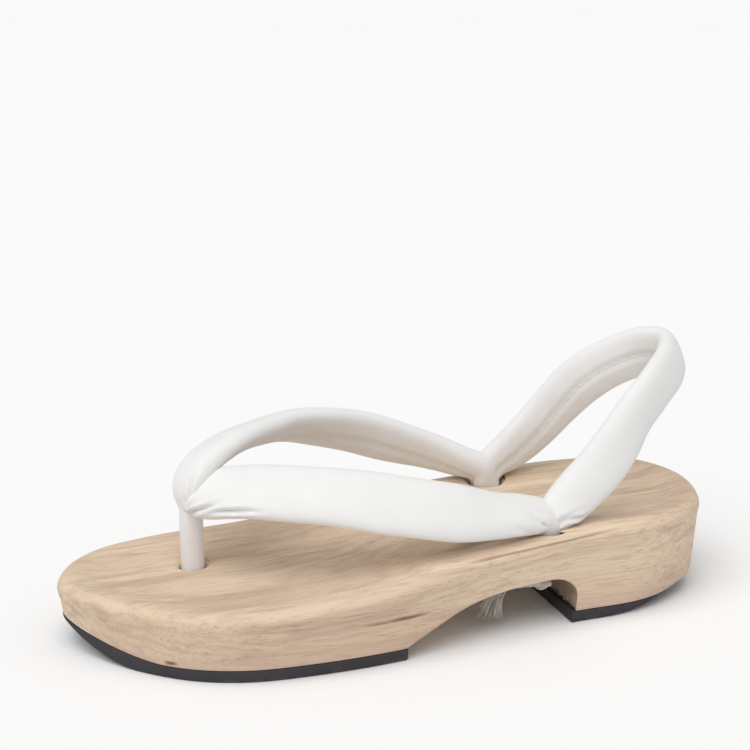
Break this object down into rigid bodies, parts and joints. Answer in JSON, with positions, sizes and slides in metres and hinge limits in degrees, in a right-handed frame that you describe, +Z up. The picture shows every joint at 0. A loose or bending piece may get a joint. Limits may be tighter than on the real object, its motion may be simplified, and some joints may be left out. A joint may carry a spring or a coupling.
{
  "type": "geta sandal",
  "caption": "Left wooden geta sandal with a low arch and raised heel, rubber-soled, with padded white thong straps and a sling round the heel.",
  "frame": {"origin": "on the ground, under the middle of the sole's box", "axes": "+Z up, +Y from toe to heel along the sole, +X towards the outer (lateral) side of the left foot"},
  "size_m": [0.0978, 0.2604, 0.1039],
  "materials": {
    "wood": "bare sanded paulownia, matt",
    "rubber": "matt charcoal sheet rubber",
    "strap_fabric": "matt white smooth fabric, padded",
    "cord": "undyed cotton cord"
  },
  "bodies": {
    "root": {"sole_body": "wood", "outsole_front": "rubber", "outsole_heel": "rubber", "upper": "strap_fabric", "knot_lateral": "cord", "knot_medial": "cord", "tail_lateral_a": "cord", "tail_lateral_b": "cord", "tail_medial_a": "cord", "tail_medial_b": "cord"}
  },
  "joints": []
}
